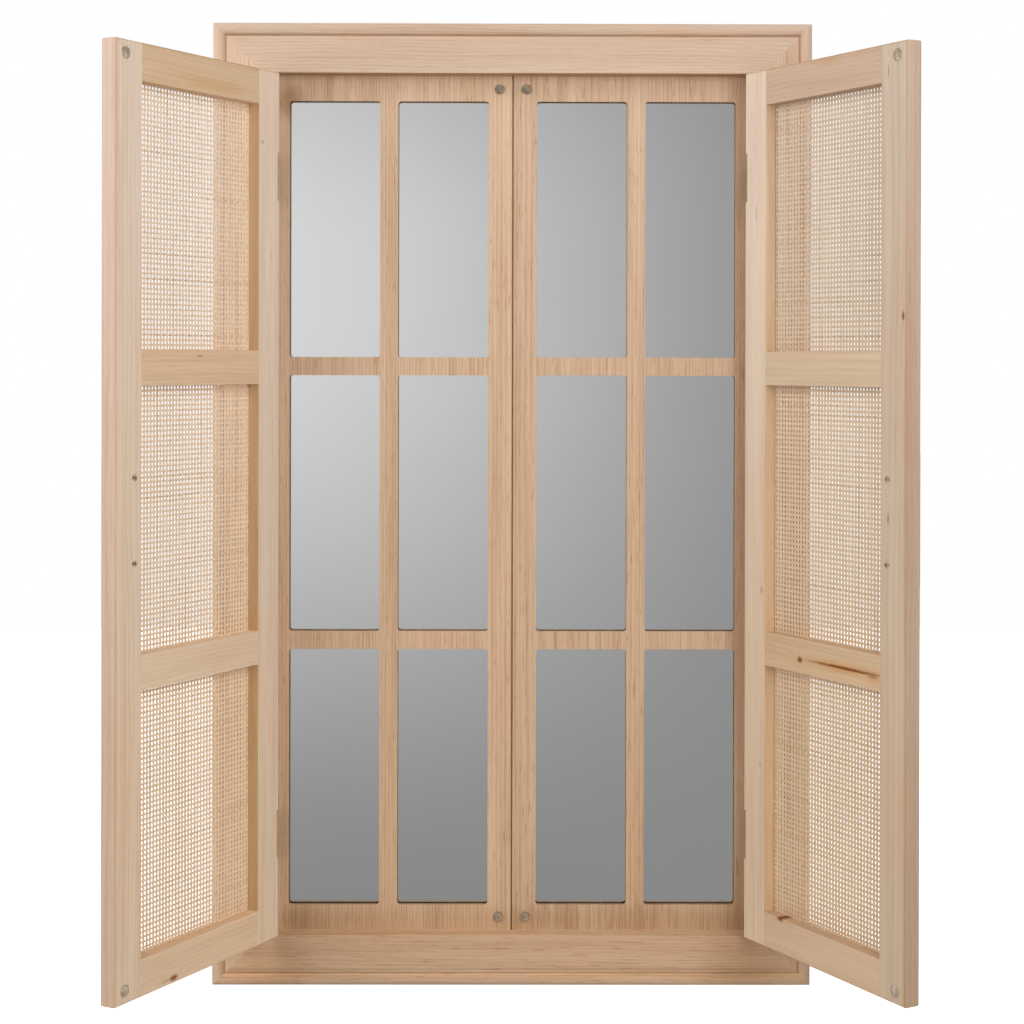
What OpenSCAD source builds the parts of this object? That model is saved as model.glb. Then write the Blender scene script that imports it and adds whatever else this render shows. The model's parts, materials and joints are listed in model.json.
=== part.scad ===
// Wall mirror in a mitred wooden frame, behind a window lattice and two cane shutters.
// The origin is the centre of the back, which lies on the wall: +Y into the wall, +Z up.
// The shutters stand open, as hung, and turn on loose-pin butt hinges.

/* [Frame] */
// Outer width of the frame
frame_w = 622; // [590:1:700]
// Outer height of the frame
frame_h = 1000; // [920:1:1100]
// Depth of the frame from the wall to its flat front band
frame_d = 36; // [34:0.5:48]
// Width of the face of each frame member
face_w = 52; // [48:1:60]
// Width of the rounded bead along the outer edge
bead_w = 12.5; // [10:0.5:15]
// Height of the bead's crown above the flat band
bead_proud = 2; // [1:0.25:3]
// Height of the bead's crown above the sides of its own arc
bead_rise = 4; // [3:0.25:5]
// Width of the sloped quirk between bead and band
quirk_w = 2.2; // [1.5:0.1:3.5]
// Drop from the bead's side to the bottom of the quirk
quirk_drop = 0.6; // [0.2:0.1:1.5]
// Rounding of the frame's inner front edge
frame_arris = 1.2; // [1:0.1:1.8]
// Distance from the flat band back to the lattice
recess_d = 21; // [20.5:0.25:26]
// How far the lattice and the glass reach in under the frame
rebate_w = 8; // [6:0.5:12]
// How far the back board reaches in under the frame
board_lap = 18; // [16:0.5:20]

/* [Corner keys] */
// Length of the loose key across each mitre
key_l = 36; // [30:1:40]
// Width of the key along the mitre
key_w = 20; // [16:1:24]
// Thickness of the key
key_t = 4; // [3:0.5:5]

/* [Lattice] */
// Thickness of each lattice board
lattice_t = 5; // [4.5:0.25:6]
// Visible width of the boards' outer and middle uprights
lattice_stile = 25.25; // [20:0.25:32]
// Visible height of the boards' top and bottom rails
lattice_rail = 26.5; // [20:0.25:36]
// Width of the bars between the windows
lattice_bar = 19; // [14:0.5:26]
// Corner radius of the windows
window_r = 3; // [1.5:0.5:6]
// Rows of windows
window_rows = 3; // [2:1:4]
// Columns of windows in each board
window_cols = 2; // [1:1:3]
// Width of the seam between the two boards
seam_w = 1.6; // [0.6:0.1:2.4]

/* [Glass and back] */
// Thickness of the mirror glass
glass_t = 4; // [3:0.5:5]
// Length of the screws that hold the back board
board_screw_l = 16; // [14:1:20]
// Back board screws along each side
side_screws = 4; // [3:1:6]
// Back board screws along the top and along the bottom
end_screws = 3; // [2:1:4]
// Distance from the opening's corner to the first back board screw
screw_inset = 45; // [30:1:80]

/* [Shutters] */
// Thickness of the shutters
door_t = 18.5; // [17.5:0.25:18.75]
// Width of the shutters' stiles
stile_w = 36; // [32:1:44]
// Height of the shutters' top and bottom rails
end_rail = 36; // [30:1:48]
// Height of the shutters' two middle rails
mid_rail = 34; // [28:1:42]
// Rounding of the shutters' hinge edges
door_arris = 1.2; // [1:0.1:2]
// Rounding of the shutters' meeting edges, tops and bottoms
door_round = 2.4; // [1:0.1:3.5]
// Gap between a shutter and the frame round it
door_gap = 1.5; // [1.3:0.1:2]
// Gap between the two closed shutters
meeting_gap = 2; // [1.6:0.1:4]
// Angle at which the left shutter stands open
left_open = 118.1; // [90:0.1:160]
// Angle at which the right shutter stands open
right_open = 118.9; // [90:0.1:160]
// Length of the rails' tenons
tenon_l = 22; // [16:1:28]
// Thickness of the tenons
tenon_t = 6; // [5:0.5:7]
// Height of the shoulder above and below a tenon
tenon_shoulder = 5; // [3:0.5:8]
// Distance from the inner face of a shutter to its tenons
tenon_back = 4; // [3.5:0.25:5.5]

/* [Cane panels] */
// Thickness of the cane sheet
cane_t = 1.6; // [1.2:0.1:2]
// Distance from a shutter's front face to the cane
cane_front = 4.9; // [4:0.1:5.5]
// How far the cane reaches into its groove
cane_lap = 3.7; // [3:0.1:5]
// Width of the strand bands between the gaps of the net
cane_band = 9; // [6:0.5:12]
// Gaps across each net
cane_cols = 7; // [4:1:8]
// Gaps up each net
cane_rows = 10; // [6:1:11]

/* [Hinges] */
// Height of a hinge
hinge_h = 50; // [40:1:60]
// Distance from the opening's top or bottom to the middle of the nearer hinge
hinge_end = 109; // [80:1:150]
// Width of a hinge leaf, from the pin's axis
leaf_w = 16; // [12:0.5:17.5]
// Thickness of a hinge leaf
leaf_t = 1.2; // [1:0.1:1.4]
// Outer radius of the hinge knuckles
knuckle_r = 2.6; // [2.4:0.05:2.65]
// Radius of the hinge pin
pin_r = 1.25; // [1:0.05:1.5]
// How far the pin's axis stands in front of the flat band
pin_proud = 2.25; // [2.2:0.05:3]
// Depth of the notch behind a shutter leaf, open to the shutter's inner face
leaf_notch = 3.3; // [2:0.1:4]
// Distance from a hinge's middle to each of its screws
leaf_screw_z = 16; // [12:0.5:18]
// Length of a hinge screw
leaf_screw_l = 12; // [8:1:16]
// Radius of a hinge screw's head
leaf_screw_head = 2.4; // [2:0.1:2.8]

/* [Catches] */
// Radius of a catch magnet
magnet_r = 5; // [4:0.5:6]
// Depth that a magnet is let into the lattice
magnet_seat = 3; // [2:0.25:4]
// Radius of a strike disc on a shutter
strike_r = 6; // [5:0.25:7]
// Thickness of a strike disc
strike_t = 1.5; // [1:0.1:2.5]
// Distance from a shutter's meeting edge to its strike discs
strike_inset = 13; // [10:0.5:18]
// Distance from a shutter's ends to its strike discs
strike_end = 12.5; // [9:0.5:20]
// Gap between magnet and strike disc when shut
catch_gap = 0.3; // [0.2:0.05:0.6]

/* [Handles] */
// Length of a handle's bar
handle_l = 128; // [110:1:160]
// Width of the bar
bar_w = 10; // [9:0.5:14]
// Thickness of the bar
bar_t = 9; // [7:0.5:11]
// Rounding of the bar's long edges
bar_r = 3.4; // [2:0.1:3.5]
// Distance that a handle stands out from its shutter
handle_out = 18.5; // [18:0.5:32]
// Distance between a handle's two screws
handle_screws = 80; // [64:1:96]
// Distance from a shutter's meeting edge to its handle
handle_inset = 26; // [20:0.5:28]
// Radius of a handle's post under the bar
post_r = 4.6; // [4:0.1:5.2]
// Radius of the post's foot on the shutter
foot_r = 6.2; // [5.6:0.1:7]
// Radius of a handle screw
handle_screw_r = 2; // [1.5:0.1:2.2]
// Length of a handle screw's shank in the post
handle_screw_grip = 9; // [7:0.5:11]
// Radius of a handle screw's domed head
handle_head_r = 3.3; // [2.8:0.1:4]
// Height of that head
handle_head_h = 1.9; // [1.5:0.1:2.6]

/* [Hangers] */
// Distance from the frame's top to the hangers' middle
hanger_down = 100; // [70:1:160]
// Width of a keyhole hanger plate
hanger_w = 18; // [16:0.5:20]
// Height of a keyhole hanger plate
hanger_h = 44; // [42:1:54]
// Thickness of a keyhole hanger plate
hanger_t = 2; // [1.5:0.1:2.5]
// Radius of the round hole that a wall screw's head passes
keyhole_r = 4.5; // [4:0.1:5]
// Half the width of the slot above that hole
slot_r = 2.2; // [1.8:0.1:2.6]
// Height of the slot above the hole's centre
slot_rise = 9; // [8:0.5:11]
// Depth of the pocket behind a hanger for a wall screw's head
pocket_d = 9; // [7:0.5:11]
// Length of a hanger screw
hanger_screw_l = 12; // [8:1:14]

/* [Hidden] */
$fn = 48;

// Colours as the photograph shows them
oak = [0.83, 0.71, 0.60];
veneer = [0.79, 0.66, 0.54];
pale_wood = [0.87, 0.77, 0.66];
straw = [0.93, 0.87, 0.74];
silver = [0.70, 0.71, 0.71];
steel = [0.62, 0.60, 0.57];
board_brown = [0.62, 0.50, 0.38];

// Clearances
cut = 1;              // how far a cutter runs past the face that it opens
joint_fit = 0.1;      // between a tenon, key, leaf or cane sheet and its slot
screw_fit = 0.05;     // between a screw, magnet or disc and its hole
pin_fit = 0.05;       // between a hinge pin and the knuckles' bores
knuckle_fit = 0.2;    // between neighbouring knuckles
seat_fit = 0.5;       // between lattice, glass or back board and the rebate's sides
groove_fit = 0.3;     // between the cane's edge and the bottom of its groove
tenon_end = 0.5;      // between a tenon's end and the bottom of its mortise

// The opening, and the depths measured from the wall
open_w = frame_w - 2 * face_w;
open_h = frame_h - 2 * face_w;
lattice_front = frame_d - recess_d;
glass_front = lattice_front - lattice_t;
board_t = glass_front - glass_t;
half_board_w = open_w / 2 + rebate_w - seat_fit - seam_w / 2;
board_h = open_h + 2 * (rebate_w - seat_fit);
tongue_t = 1.2;
tongue_w = 2.5;

// The bead's arc, from its width and its rise
bead_r = (bead_w * bead_w / 4 + bead_rise * bead_rise) / (2 * bead_rise);
bead_foot = frame_d + bead_proud - bead_rise;

// The windows of one lattice board
window_w = (open_w / 2 - 2 * lattice_stile - (window_cols - 1) * lattice_bar) / window_cols;
window_h = (open_h - 2 * lattice_rail - (window_rows - 1) * lattice_bar) / window_rows;

// The shutters, in a frame of their own: origin on the pin's axis, +X to the meeting edge
pin_gap = door_gap / 2;
door_w = (open_w - 2 * door_gap - meeting_gap) / 2;
door_h = open_h - 2 * door_gap;
door_end = pin_gap + door_w;
door_front = pin_proud;
door_back = door_front + door_t;
sight_w = door_w - 2 * stile_w;
sight_h = (door_h - 2 * end_rail - 2 * mid_rail) / 3;
sight_x = pin_gap + stile_w;
panel_step = sight_h + mid_rail;
groove_d = cane_lap + groove_fit;
cane_y = door_front + cane_front;
tenon_y = door_back - tenon_back - tenon_t;
handle_x = door_end - handle_inset;
strike_x = door_end - strike_inset;
strike_z = door_h / 2 - strike_end;

// Hinges
hinge_z = open_h / 2 - hinge_end;
pin_x = open_w / 2 - pin_gap;
pin_y = -(frame_d + pin_proud);
knuckles = 5;
knuckle_step = (hinge_h + knuckle_fit) / knuckles;
knuckle_h = knuckle_step - knuckle_fit;
leaf_corner = 0.6;
leaf_screw_r = 1.2;
leaf_screw_y = (door_front + leaf_w) / 2;
pin_head_h = 0.9;

// Catches
magnet_h = magnet_seat + recess_d - door_t - catch_gap;
magnet_x = pin_x - strike_x;

// Back board and hanger screws
board_screw_r = 1.6;
board_screw_head = 3.4;
board_screw_p = face_w - (board_lap + rebate_w) / 2;
hanger_p = (face_w - board_lap) / 2;
hanger_z = frame_h / 2 - hanger_down;
hanger_screw_z = hanger_h / 2 - 5;
hanger_screw_r = 1.4;
hanger_screw_head = 2.8;
hanger_corner = 4;
keyhole_z = -slot_rise / 2;
pocket_wall = 1.5;
pocket_r = keyhole_r + pocket_wall;

// A rectangle with true round corners, centred on the origin
module round_rect(w, h, r) {
    square([w - 2 * r, h], center = true);
    square([w, h - 2 * r], center = true);
    for (sx = [-1, 1], sy = [-1, 1])
        translate([sx * (w / 2 - r), sy * (h / 2 - r)])
            circle(r);
}

// A countersunk screw with its head's face on the XY plane, running down -Z
module flat_screw(head_r, shank_r, length, fit = 0) {
    head_h = head_r - shank_r;
    translate([0, 0, -head_h])
        cylinder(h = head_h, r1 = shank_r + fit, r2 = head_r + fit);
    translate([0, 0, -length - fit])
        cylinder(h = length + fit, r = shank_r + fit);
}

// A flat screw's hole, which also opens the face above the head
module flat_screw_hole(head_r, shank_r, length) {
    flat_screw(head_r, shank_r, length, screw_fit);
    cylinder(h = cut, r = head_r + screw_fit);
}

// ---- Frame ----

// Section of a frame member: X in from the outer edge, Y out from the wall
module frame_section() {
    difference() {
        union() {
            bead_section();
            polygon([[bead_w, 0], [face_w, 0], [face_w, frame_d - frame_arris],
                     [face_w - frame_arris, frame_d - frame_arris], [face_w - frame_arris, frame_d],
                     [bead_w + quirk_w, frame_d], [bead_w, bead_foot - quirk_drop]]);
            translate([face_w - frame_arris, frame_d - frame_arris])
                circle(frame_arris);
        }
        translate([face_w - rebate_w, -cut])
            square([rebate_w + cut, lattice_front + cut]);
        translate([face_w - board_lap, -cut])
            square([board_lap + cut, board_t + cut]);
    }
}

// The part of that section under the bead, whose top is one arc
module bead_section() {
    arc_y = bead_foot + bead_rise - bead_r;
    intersection() {
        square([bead_w, frame_d + bead_proud + cut]);
        union() {
            square([bead_w, arc_y]);
            translate([bead_w / 2, arc_y])
                circle(bead_r, $fn = 96);
        }
    }
}

// A mitred member whose outer edge lies on the X axis, with its face towards -Y
module frame_member(length) {
    intersection() {
        rotate([180, 90, 0])
            linear_extrude(length, center = true)
                frame_section();
        rotate([90, 0, 0])
            linear_extrude(frame_d + bead_proud)
                polygon([[-length / 2, 0], [length / 2, 0],
                         [length / 2 - face_w, -face_w], [-length / 2 + face_w, -face_w]]);
    }
}

// One loose key, centred on the mitre of the corner at sx, sz
module corner_key(sx, sz, fit = 0) {
    translate([sx * (frame_w - face_w) / 2, -(lattice_front + frame_d) / 2, sz * (frame_h - face_w) / 2])
        rotate([0, sx * sz * 45, 0])
            cube([key_l + 2 * fit, key_t + 2 * fit, key_w + 2 * fit], center = true);
}

module corner_key_set(fit = 0) {
    for (sx = [-1, 1], sz = [-1, 1])
        corner_key(sx, sz, fit);
}

// Puts its children at each back board screw, with +Z out of the wall side
module at_board_screws() {
    side_x = frame_w / 2 - board_screw_p;
    side_l = open_h - 2 * screw_inset;
    end_z = frame_h / 2 - board_screw_p;
    end_l = open_w - 2 * screw_inset;
    for (sx = [-1, 1], i = [0 : side_screws - 1])
        translate([sx * side_x, 0, -side_l / 2 + i * side_l / (side_screws - 1)])
            rotate([-90, 0, 0])
                children();
    for (sz = [-1, 1], i = [0 : end_screws - 1])
        translate([-end_l / 2 + i * end_l / (end_screws - 1), 0, sz * end_z])
            rotate([-90, 0, 0])
                children();
}

module board_screw_holes() {
    at_board_screws()
        flat_screw_hole(board_screw_head, board_screw_r, board_screw_l);
}

module frame_end(sz) {
    color(oak)
        difference() {
            translate([0, 0, sz * frame_h / 2])
                rotate([0, 90 - sz * 90, 0])
                    frame_member(frame_w);
            corner_key_set(joint_fit);
            board_screw_holes();
        }
}

module frame_top() {
    frame_end(1);
}

module frame_bottom() {
    frame_end(-1);
}

// The left member; the right one is its mirror image
module frame_side() {
    color(oak)
        difference() {
            translate([-frame_w / 2, 0, 0])
                rotate([0, -90, 0])
                    frame_member(frame_h);
            corner_key_set(joint_fit);
            board_screw_holes();
            hanger_recess();
            for (z = [-hinge_z, hinge_z])
                at_pin(z) {
                    leaf_mortise(-1);
                    leaf_screw_set(-1, screw_fit);
                }
        }
}

module frame_left() {
    frame_side();
}

module frame_right() {
    mirror([1, 0, 0])
        frame_side();
}

module corner_keys() {
    color(pale_wood)
        corner_key_set();
}

// ---- Lattice, glass and back ----

// The left board, without its tongue; the right one is its mirror image
module lattice_board() {
    color(veneer)
        difference() {
            translate([-seam_w / 2, -glass_front, 0])
                rotate([90, 0, 0])
                    linear_extrude(lattice_t)
                        translate([-half_board_w / 2, 0])
                            square([half_board_w, board_h], center = true);
            translate([0, -glass_front + cut, 0])
                rotate([90, 0, 0])
                    linear_extrude(lattice_t + 2 * cut)
                        lattice_windows();
            for (sz = [-1, 1])
                translate([-magnet_x, -lattice_front + magnet_seat, sz * strike_z])
                    rotate([90, 0, 0])
                        cylinder(h = magnet_seat + cut, r = magnet_r + screw_fit);
        }
}

module lattice_windows() {
    for (i = [0 : window_cols - 1], j = [0 : window_rows - 1])
        translate([-lattice_stile - window_w / 2 - i * (window_w + lattice_bar),
                   -open_h / 2 + lattice_rail + window_h / 2 + j * (window_h + lattice_bar)])
            round_rect(window_w, window_h, window_r);
}

// The tongue that closes the seam from behind, from x on; fit makes it the cutter of its rebate
module lattice_tongue(x, fit = 0) {
    translate([x, -glass_front - tongue_t - fit, -board_h / 2 - fit])
        cube([tongue_w + seam_w / 2 - x, tongue_t + fit + (fit > 0 ? cut : 0), board_h + 2 * fit]);
}

module lattice_left() {
    lattice_board();
    color(veneer)
        lattice_tongue(-seam_w / 2 - tongue_w);
}

module lattice_right() {
    color(veneer)
        difference() {
            mirror([1, 0, 0])
                lattice_board();
            translate([joint_fit, 0, 0])
                lattice_tongue(0, joint_fit);
        }
}

module mirror_glass() {
    glass_w = open_w + 2 * (rebate_w - seat_fit);
    glass_h = open_h + 2 * (rebate_w - seat_fit);
    color(silver)
        translate([-glass_w / 2, -glass_front, -glass_h / 2])
            cube([glass_w, glass_t, glass_h]);
}

module back_board() {
    sheet_w = open_w + 2 * (board_lap - seat_fit);
    sheet_h = open_h + 2 * (board_lap - seat_fit);
    color(board_brown)
        difference() {
            translate([-sheet_w / 2, -board_t, -sheet_h / 2])
                cube([sheet_w, board_t, sheet_h]);
            board_screw_holes();
        }
}

module back_board_screws() {
    color(steel)
        at_board_screws()
            flat_screw(board_screw_head, board_screw_r, board_screw_l);
}

module catch_magnets() {
    color(silver)
        for (sx = [-1, 1], sz = [-1, 1])
            translate([sx * magnet_x, -lattice_front + magnet_seat, sz * strike_z])
                rotate([90, 0, 0])
                    cylinder(h = magnet_h, r = magnet_r);
}

// ---- Keyhole hangers, let into the backs of the side members ----

// Puts its children at the left hanger's middle, with +Z out of the wall side
module at_hanger() {
    translate([-frame_w / 2 + hanger_p, 0, hanger_z])
        rotate([-90, 0, 0])
            children();
}

module keyhole_outline() {
    translate([0, -keyhole_z])
        circle(keyhole_r);
    translate([0, -keyhole_z - slot_rise])
        circle(slot_r);
    translate([-slot_r, -keyhole_z - slot_rise])
        square([2 * slot_r, slot_rise]);
}

module hanger_screw_set(fit = 0) {
    for (z = [-hanger_screw_z, hanger_screw_z])
        translate([0, z, 0])
            flat_screw(hanger_screw_head, hanger_screw_r, hanger_screw_l, fit);
}

module hanger_recess() {
    pocket_h = slot_rise + 2 * pocket_r;
    at_hanger() {
        translate([0, 0, -hanger_t])
            linear_extrude(hanger_t + cut)
                round_rect(hanger_w + 2 * joint_fit, hanger_h + 2 * joint_fit, hanger_corner);
        translate([0, 0, -pocket_d - hanger_t])
            linear_extrude(pocket_d + hanger_t + cut)
                round_rect(2 * pocket_r, pocket_h, pocket_r - joint_fit);
        hanger_screw_set(screw_fit);
    }
}

module hanger_plate() {
    color(steel)
        at_hanger()
            difference() {
                translate([0, 0, -hanger_t])
                    linear_extrude(hanger_t)
                        difference() {
                            round_rect(hanger_w, hanger_h, hanger_corner);
                            keyhole_outline();
                        }
                for (z = [-hanger_screw_z, hanger_screw_z])
                    translate([0, z, 0])
                        flat_screw_hole(hanger_screw_head, hanger_screw_r, hanger_screw_l);
            }
}

module hanger_left() {
    hanger_plate();
}

module hanger_right() {
    mirror([1, 0, 0])
        hanger_plate();
}

module hanger_screws() {
    color(steel) {
        at_hanger()
            hanger_screw_set();
        mirror([1, 0, 0])
            at_hanger()
                hanger_screw_set();
    }
}

// ---- Hinges: drawn for the left side, about the pin's axis, as if shut ----

// Puts its children on the left pin's axis at a hinge's height
module at_pin(z = 0) {
    translate([-pin_x, pin_y, z])
        children();
}

// A leaf on the frame side (sx = -1) or the shutter side (sx = 1)
module leaf(sx) {
    first = sx < 0 ? 0 : 1;
    own = [for (i = [first : 2 : knuckles - 1]) i];
    other = [for (i = [1 - first : 2 : knuckles - 1]) i];
    color(steel)
        difference() {
            union() {
                leaf_plate(sx, 0);
                for (i = own)
                    translate([0, 0, -hinge_h / 2 + i * knuckle_step])
                        cylinder(h = knuckle_h, r = knuckle_r);
            }
            for (i = other)
                translate([0, 0, -hinge_h / 2 + i * knuckle_step - knuckle_fit])
                    cylinder(h = knuckle_h + 2 * knuckle_fit, r = knuckle_r + knuckle_fit);
            translate([0, 0, -hinge_h / 2 - cut])
                cylinder(h = hinge_h + 2 * cut, r = pin_r + pin_fit);
            leaf_screw_set(sx, screw_fit);
        }
}

// The flat of a leaf, from the pin's axis back; fit makes it the cutter of its mortise
module leaf_plate(sx, fit) {
    x = sx < 0 ? -pin_gap - leaf_t : pin_gap;
    translate([x, 0, -hinge_h / 2 - fit])
        cube([leaf_t, leaf_w + fit, hinge_h + 2 * fit]);
}

// The mortise of a leaf, open to the gap between shutter and frame
module leaf_mortise(sx) {
    if (sx > 0)
        translate([0, leaf_w, -hinge_h / 2 - joint_fit])
            cube([pin_gap + leaf_notch, door_back - leaf_w + cut, hinge_h + 2 * joint_fit]);
    leaf_plate(sx, joint_fit);
    translate([sx < 0 ? -pin_gap - leaf_t / 2 : 0, 0, -hinge_h / 2 - joint_fit])
        cube([pin_gap + leaf_t / 2, leaf_w + joint_fit, hinge_h + 2 * joint_fit]);
}

module leaf_screw_set(sx, fit = 0) {
    for (z = [-leaf_screw_z, leaf_screw_z])
        translate([sx * pin_gap, leaf_screw_y, z])
            rotate([0, -sx * 90, 0])
                flat_screw(leaf_screw_head, leaf_screw_r, leaf_screw_l, fit);
}

module hinge_pin(z) {
    color(silver)
        at_pin(z) {
            translate([0, 0, -hinge_h / 2])
                cylinder(h = hinge_h + pin_head_h, r = pin_r);
            translate([0, 0, hinge_h / 2])
                cylinder(h = pin_head_h, r = knuckle_r - leaf_corner);
        }
}

module left_upper_frame_leaf() {
    at_pin(hinge_z)
        leaf(-1);
}

module left_lower_frame_leaf() {
    at_pin(-hinge_z)
        leaf(-1);
}

module right_upper_frame_leaf() {
    mirror([1, 0, 0])
        left_upper_frame_leaf();
}

module right_lower_frame_leaf() {
    mirror([1, 0, 0])
        left_lower_frame_leaf();
}

module left_upper_pin() {
    hinge_pin(hinge_z);
}

module left_lower_pin() {
    hinge_pin(-hinge_z);
}

module right_upper_pin() {
    mirror([1, 0, 0])
        hinge_pin(hinge_z);
}

module right_lower_pin() {
    mirror([1, 0, 0])
        hinge_pin(-hinge_z);
}

module frame_leaf_screws() {
    color(steel)
        for (flip = [0, 1], z = [-hinge_z, hinge_z])
            mirror([flip, 0, 0])
                at_pin(z)
                    leaf_screw_set(-1);
}

// ---- Shutters: drawn as if the left one were shut, with the origin on its pin's axis ----

// Swings its children open on the left pin
module hang_left() {
    at_pin()
        rotate([0, 0, -left_open])
            children();
}

// The same on the right, as a mirror image
module hang_right() {
    mirror([1, 0, 0])
        at_pin()
            rotate([0, 0, -right_open])
                children();
}

// Middle heights of the rails, from the bottom one up
function rail_z(i) = i == 0 ? -(door_h - end_rail) / 2
                   : i == 3 ? (door_h - end_rail) / 2
                   : (i - 1.5) * panel_step;
function rail_h(i) = i == 0 || i == 3 ? end_rail : mid_rail;

// The space inside a shutter's rounded top and bottom edges
module between_ends(length) {
    translate([0, door_front + door_t / 2, 0])
        rotate([90, 0, 90])
            linear_extrude(length)
                round_rect(door_t, door_h, door_round);
}

// Section of a stile with outer edges of radius r: X in from that edge, Y from front to back
module stile_section(r) {
    translate([r, 0])
        square([stile_w - r, door_t]);
    translate([0, r])
        square([r, door_t - 2 * r]);
    for (y = [r, door_t - r])
        translate([r, y])
            circle(r);
}

// A stile blank with its outer edge at X = 0, with its groove and mortises
module stile_blank(r) {
    groove_l = door_h - 2 * end_rail + 2 * groove_d;
    difference() {
        intersection() {
            translate([0, door_front, 0])
                linear_extrude(door_h, center = true)
                    stile_section(r);
            between_ends(stile_w);
        }
        translate([stile_w - groove_d, cane_y - joint_fit, -groove_l / 2])
            cube([groove_d + cut, cane_t + 2 * joint_fit, groove_l]);
        for (i = [0 : 3])
            translate([stile_w - tenon_l - tenon_end, tenon_y, rail_z(i)])
                tenon(tenon_l + tenon_end + cut, rail_h(i), joint_fit);
    }
}

module tenon(length, rail, fit = 0) {
    tenon_h = rail - 2 * tenon_shoulder;
    translate([0, -fit, -tenon_h / 2 - fit])
        cube([length, tenon_t + 2 * fit, tenon_h + 2 * fit]);
}

module hinge_stile() {
    color(pale_wood)
        difference() {
            translate([pin_gap, 0, 0])
                stile_blank(door_arris);
            for (z = [-hinge_z, hinge_z])
                translate([0, 0, z]) {
                    leaf_mortise(1);
                    leaf_screw_set(1, screw_fit);
                }
        }
}

module meeting_stile() {
    color(pale_wood)
        difference() {
            translate([door_end, 0, 0])
                mirror([1, 0, 0])
                    stile_blank(door_round);
            for (sz = [-1, 1])
                translate([strike_x, door_back - strike_t, sz * strike_z])
                    rotate([-90, 0, 0])
                        cylinder(h = strike_t + cut, r = strike_r + screw_fit);
            for (sz = [-1, 1])
                translate([handle_x, door_front - cut, sz * handle_screws / 2])
                    rotate([-90, 0, 0])
                        cylinder(h = door_t + 2 * cut, r = handle_screw_r + joint_fit);
        }
}

// Rail i, with a groove along each edge that holds cane
module rail(i) {
    h = rail_h(i);
    grooved = [if (i > 0) -1, if (i < 3) 1];
    color(pale_wood)
        translate([sight_x, 0, rail_z(i)]) {
            difference() {
                intersection() {
                    translate([0, door_front, -h / 2])
                        cube([sight_w, door_t, h]);
                    translate([0, 0, -rail_z(i)])
                        between_ends(sight_w);
                }
                for (sz = grooved)
                    translate([-cut, cane_y - joint_fit, sz * (h / 2 + (cut - groove_d) / 2)])
                        translate([0, 0, -(groove_d + cut) / 2])
                            cube([sight_w + 2 * cut, cane_t + 2 * joint_fit, groove_d + cut]);
            }
            translate([-tenon_l, tenon_y, 0])
                tenon(tenon_l, h);
            translate([sight_w, tenon_y, 0])
                tenon(tenon_l, h);
        }
}

// Cane panel i, from the bottom one up: a flat net whose rim lies in the grooves
module cane(i) {
    step_x = sight_w / cane_cols;
    step_z = sight_h / cane_rows;
    color(straw)
        translate([sight_x, cane_y + cane_t, (i - 1) * panel_step - sight_h / 2])
            rotate([90, 0, 0])
                linear_extrude(cane_t)
                    difference() {
                        translate([-cane_lap, -cane_lap])
                            square([sight_w + 2 * cane_lap, sight_h + 2 * cane_lap]);
                        for (a = [0 : cane_cols - 1], b = [0 : cane_rows - 1])
                            translate([(a + 0.5) * step_x, (b + 0.5) * step_z])
                                square([step_x - cane_band, step_z - cane_band], center = true);
                    }
}

// The bar pull: a rounded bar on two turned posts
module handle() {
    foot_h = foot_r - post_r;
    post_l = handle_out - bar_t / 2;
    color(oak)
        translate([handle_x, door_front, 0])
            difference() {
                union() {
                    translate([0, -handle_out + bar_t / 2, 0])
                        handle_bar();
                    for (sz = [-1, 1])
                        translate([0, 0, sz * handle_screws / 2])
                            rotate([90, 0, 0]) {
                                cylinder(h = post_l, r = post_r);
                                cylinder(h = foot_h, r1 = foot_r, r2 = post_r);
                            }
                }
                for (sz = [-1, 1])
                    translate([0, cut, sz * handle_screws / 2])
                        rotate([90, 0, 0])
                            cylinder(h = handle_screw_grip + cut + joint_fit, r = handle_screw_r + screw_fit);
            }
}

// The bar, with round edges along it and round ends seen from the side and from the front
module handle_bar() {
    intersection() {
        linear_extrude(handle_l, center = true)
            round_rect(bar_w, bar_t, bar_r);
        rotate([90, 0, 0])
            linear_extrude(bar_t + 2 * cut, center = true)
                round_rect(bar_w + 2 * cut, handle_l, bar_r);
        rotate([90, 0, 90])
            linear_extrude(bar_w + 2 * cut, center = true)
                round_rect(bar_t + 2 * cut, handle_l, bar_r);
    }
}

module handle_screw_pair() {
    dome_r = (handle_head_r * handle_head_r + handle_head_h * handle_head_h) / (2 * handle_head_h);
    color(steel)
        for (sz = [-1, 1])
            translate([handle_x, door_back, sz * handle_screws / 2])
                rotate([90, 0, 0]) {
                    cylinder(h = door_t + handle_screw_grip, r = handle_screw_r);
                    intersection() {
                        translate([0, 0, dome_r - handle_head_h])
                            sphere(dome_r);
                        translate([0, 0, -handle_head_h])
                            cylinder(h = handle_head_h, r = handle_head_r);
                    }
                }
}

module strike_pair() {
    color(silver)
        for (sz = [-1, 1])
            translate([strike_x, door_back - strike_t, sz * strike_z])
                rotate([-90, 0, 0])
                    cylinder(h = strike_t, r = strike_r);
}

module door_leaf(z) {
    translate([0, 0, z])
        leaf(1);
}

module door_leaf_screws() {
    color(steel)
        for (z = [-hinge_z, hinge_z])
            translate([0, 0, z])
                leaf_screw_set(1);
}

module left_hinge_stile() {
    hang_left() hinge_stile();
}

module left_meeting_stile() {
    hang_left() meeting_stile();
}

module left_top_rail() {
    hang_left() rail(3);
}

module left_upper_rail() {
    hang_left() rail(2);
}

module left_lower_rail() {
    hang_left() rail(1);
}

module left_bottom_rail() {
    hang_left() rail(0);
}

module left_cane_top() {
    hang_left() cane(2);
}

module left_cane_middle() {
    hang_left() cane(1);
}

module left_cane_bottom() {
    hang_left() cane(0);
}

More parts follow.
